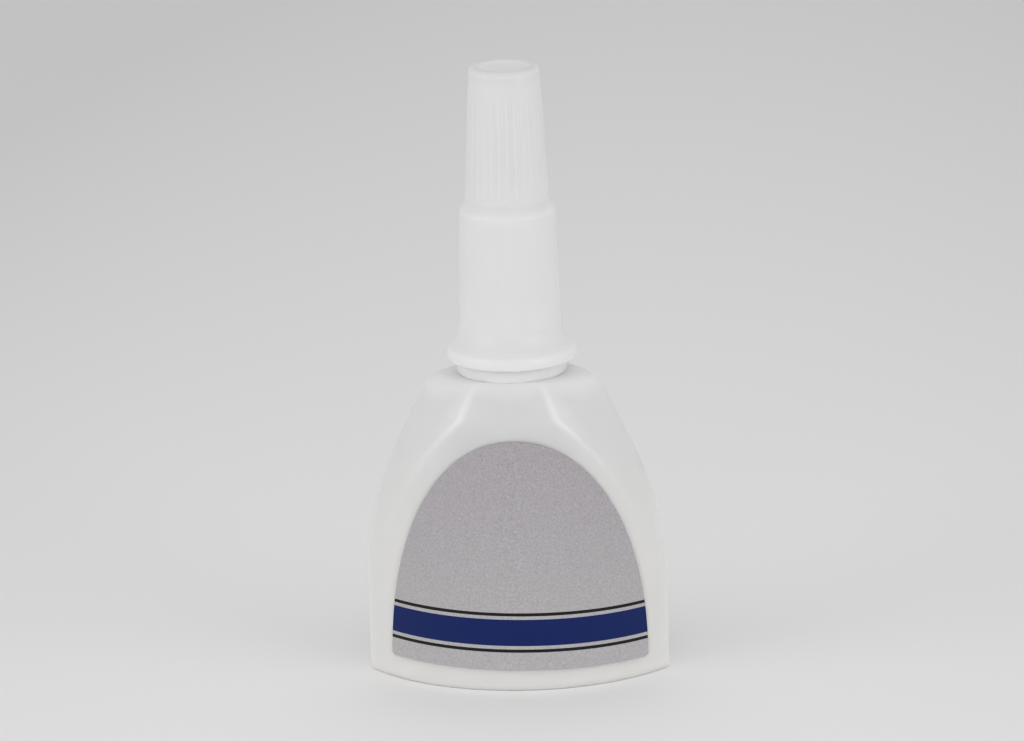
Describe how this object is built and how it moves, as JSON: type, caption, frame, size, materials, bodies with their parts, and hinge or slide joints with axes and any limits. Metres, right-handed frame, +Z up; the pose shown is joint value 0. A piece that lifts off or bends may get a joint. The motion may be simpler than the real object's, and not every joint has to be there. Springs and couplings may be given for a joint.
{
  "type": "instant glue squeeze bottle",
  "caption": "Flat translucent squeeze bottle for instant glue, with arched label panels, a dropper nozzle and a tall stepped screw cap with a sealing pin.",
  "frame": {"origin": "middle of the base, on the surface that the bottle stands on", "axes": "+Z up along the axis of the neck and cap, +X to the right across the bottle's width, front label towards -Y"},
  "size_m": [0.045, 0.0242, 0.0928],
  "materials": {
    "bottle_plastic": "natural translucent polyethylene, waxy",
    "nozzle_plastic": "natural polyethylene, smooth",
    "cap_plastic": "milky polypropylene, satin",
    "pin_steel": "drawn stainless wire",
    "liquid_glue": "clear liquid",
    "label_film": "silver-grey printed film, fine grain"
  },
  "bodies": {
    "bottle": {"bottle": "bottle_plastic", "nozzle": "nozzle_plastic", "glue_fill": "liquid_glue", "front_label": "label_film", "back_label": "label_film"},
    "cap_pin": {"cap_pin": "pin_steel"},
    "cap": {"cap": "cap_plastic"}
  },
  "joints": [
    {"name": "cap_lift", "type": "slide", "parent": "bottle", "child": "cap_pin", "axis": [0, 0, 1], "range_m": [0, 0.042]},
    {"name": "cap_turn", "type": "hinge", "parent": "cap_pin", "child": "cap", "pos_m": [0, 0, 0.07], "axis": [0, 0, 1], "range_deg": [0, 5041]}
  ],
  "couplings": [
    {"joint": "cap_turn", "follows": "cap_lift", "rad_per_m": 2094.4}
  ]
}
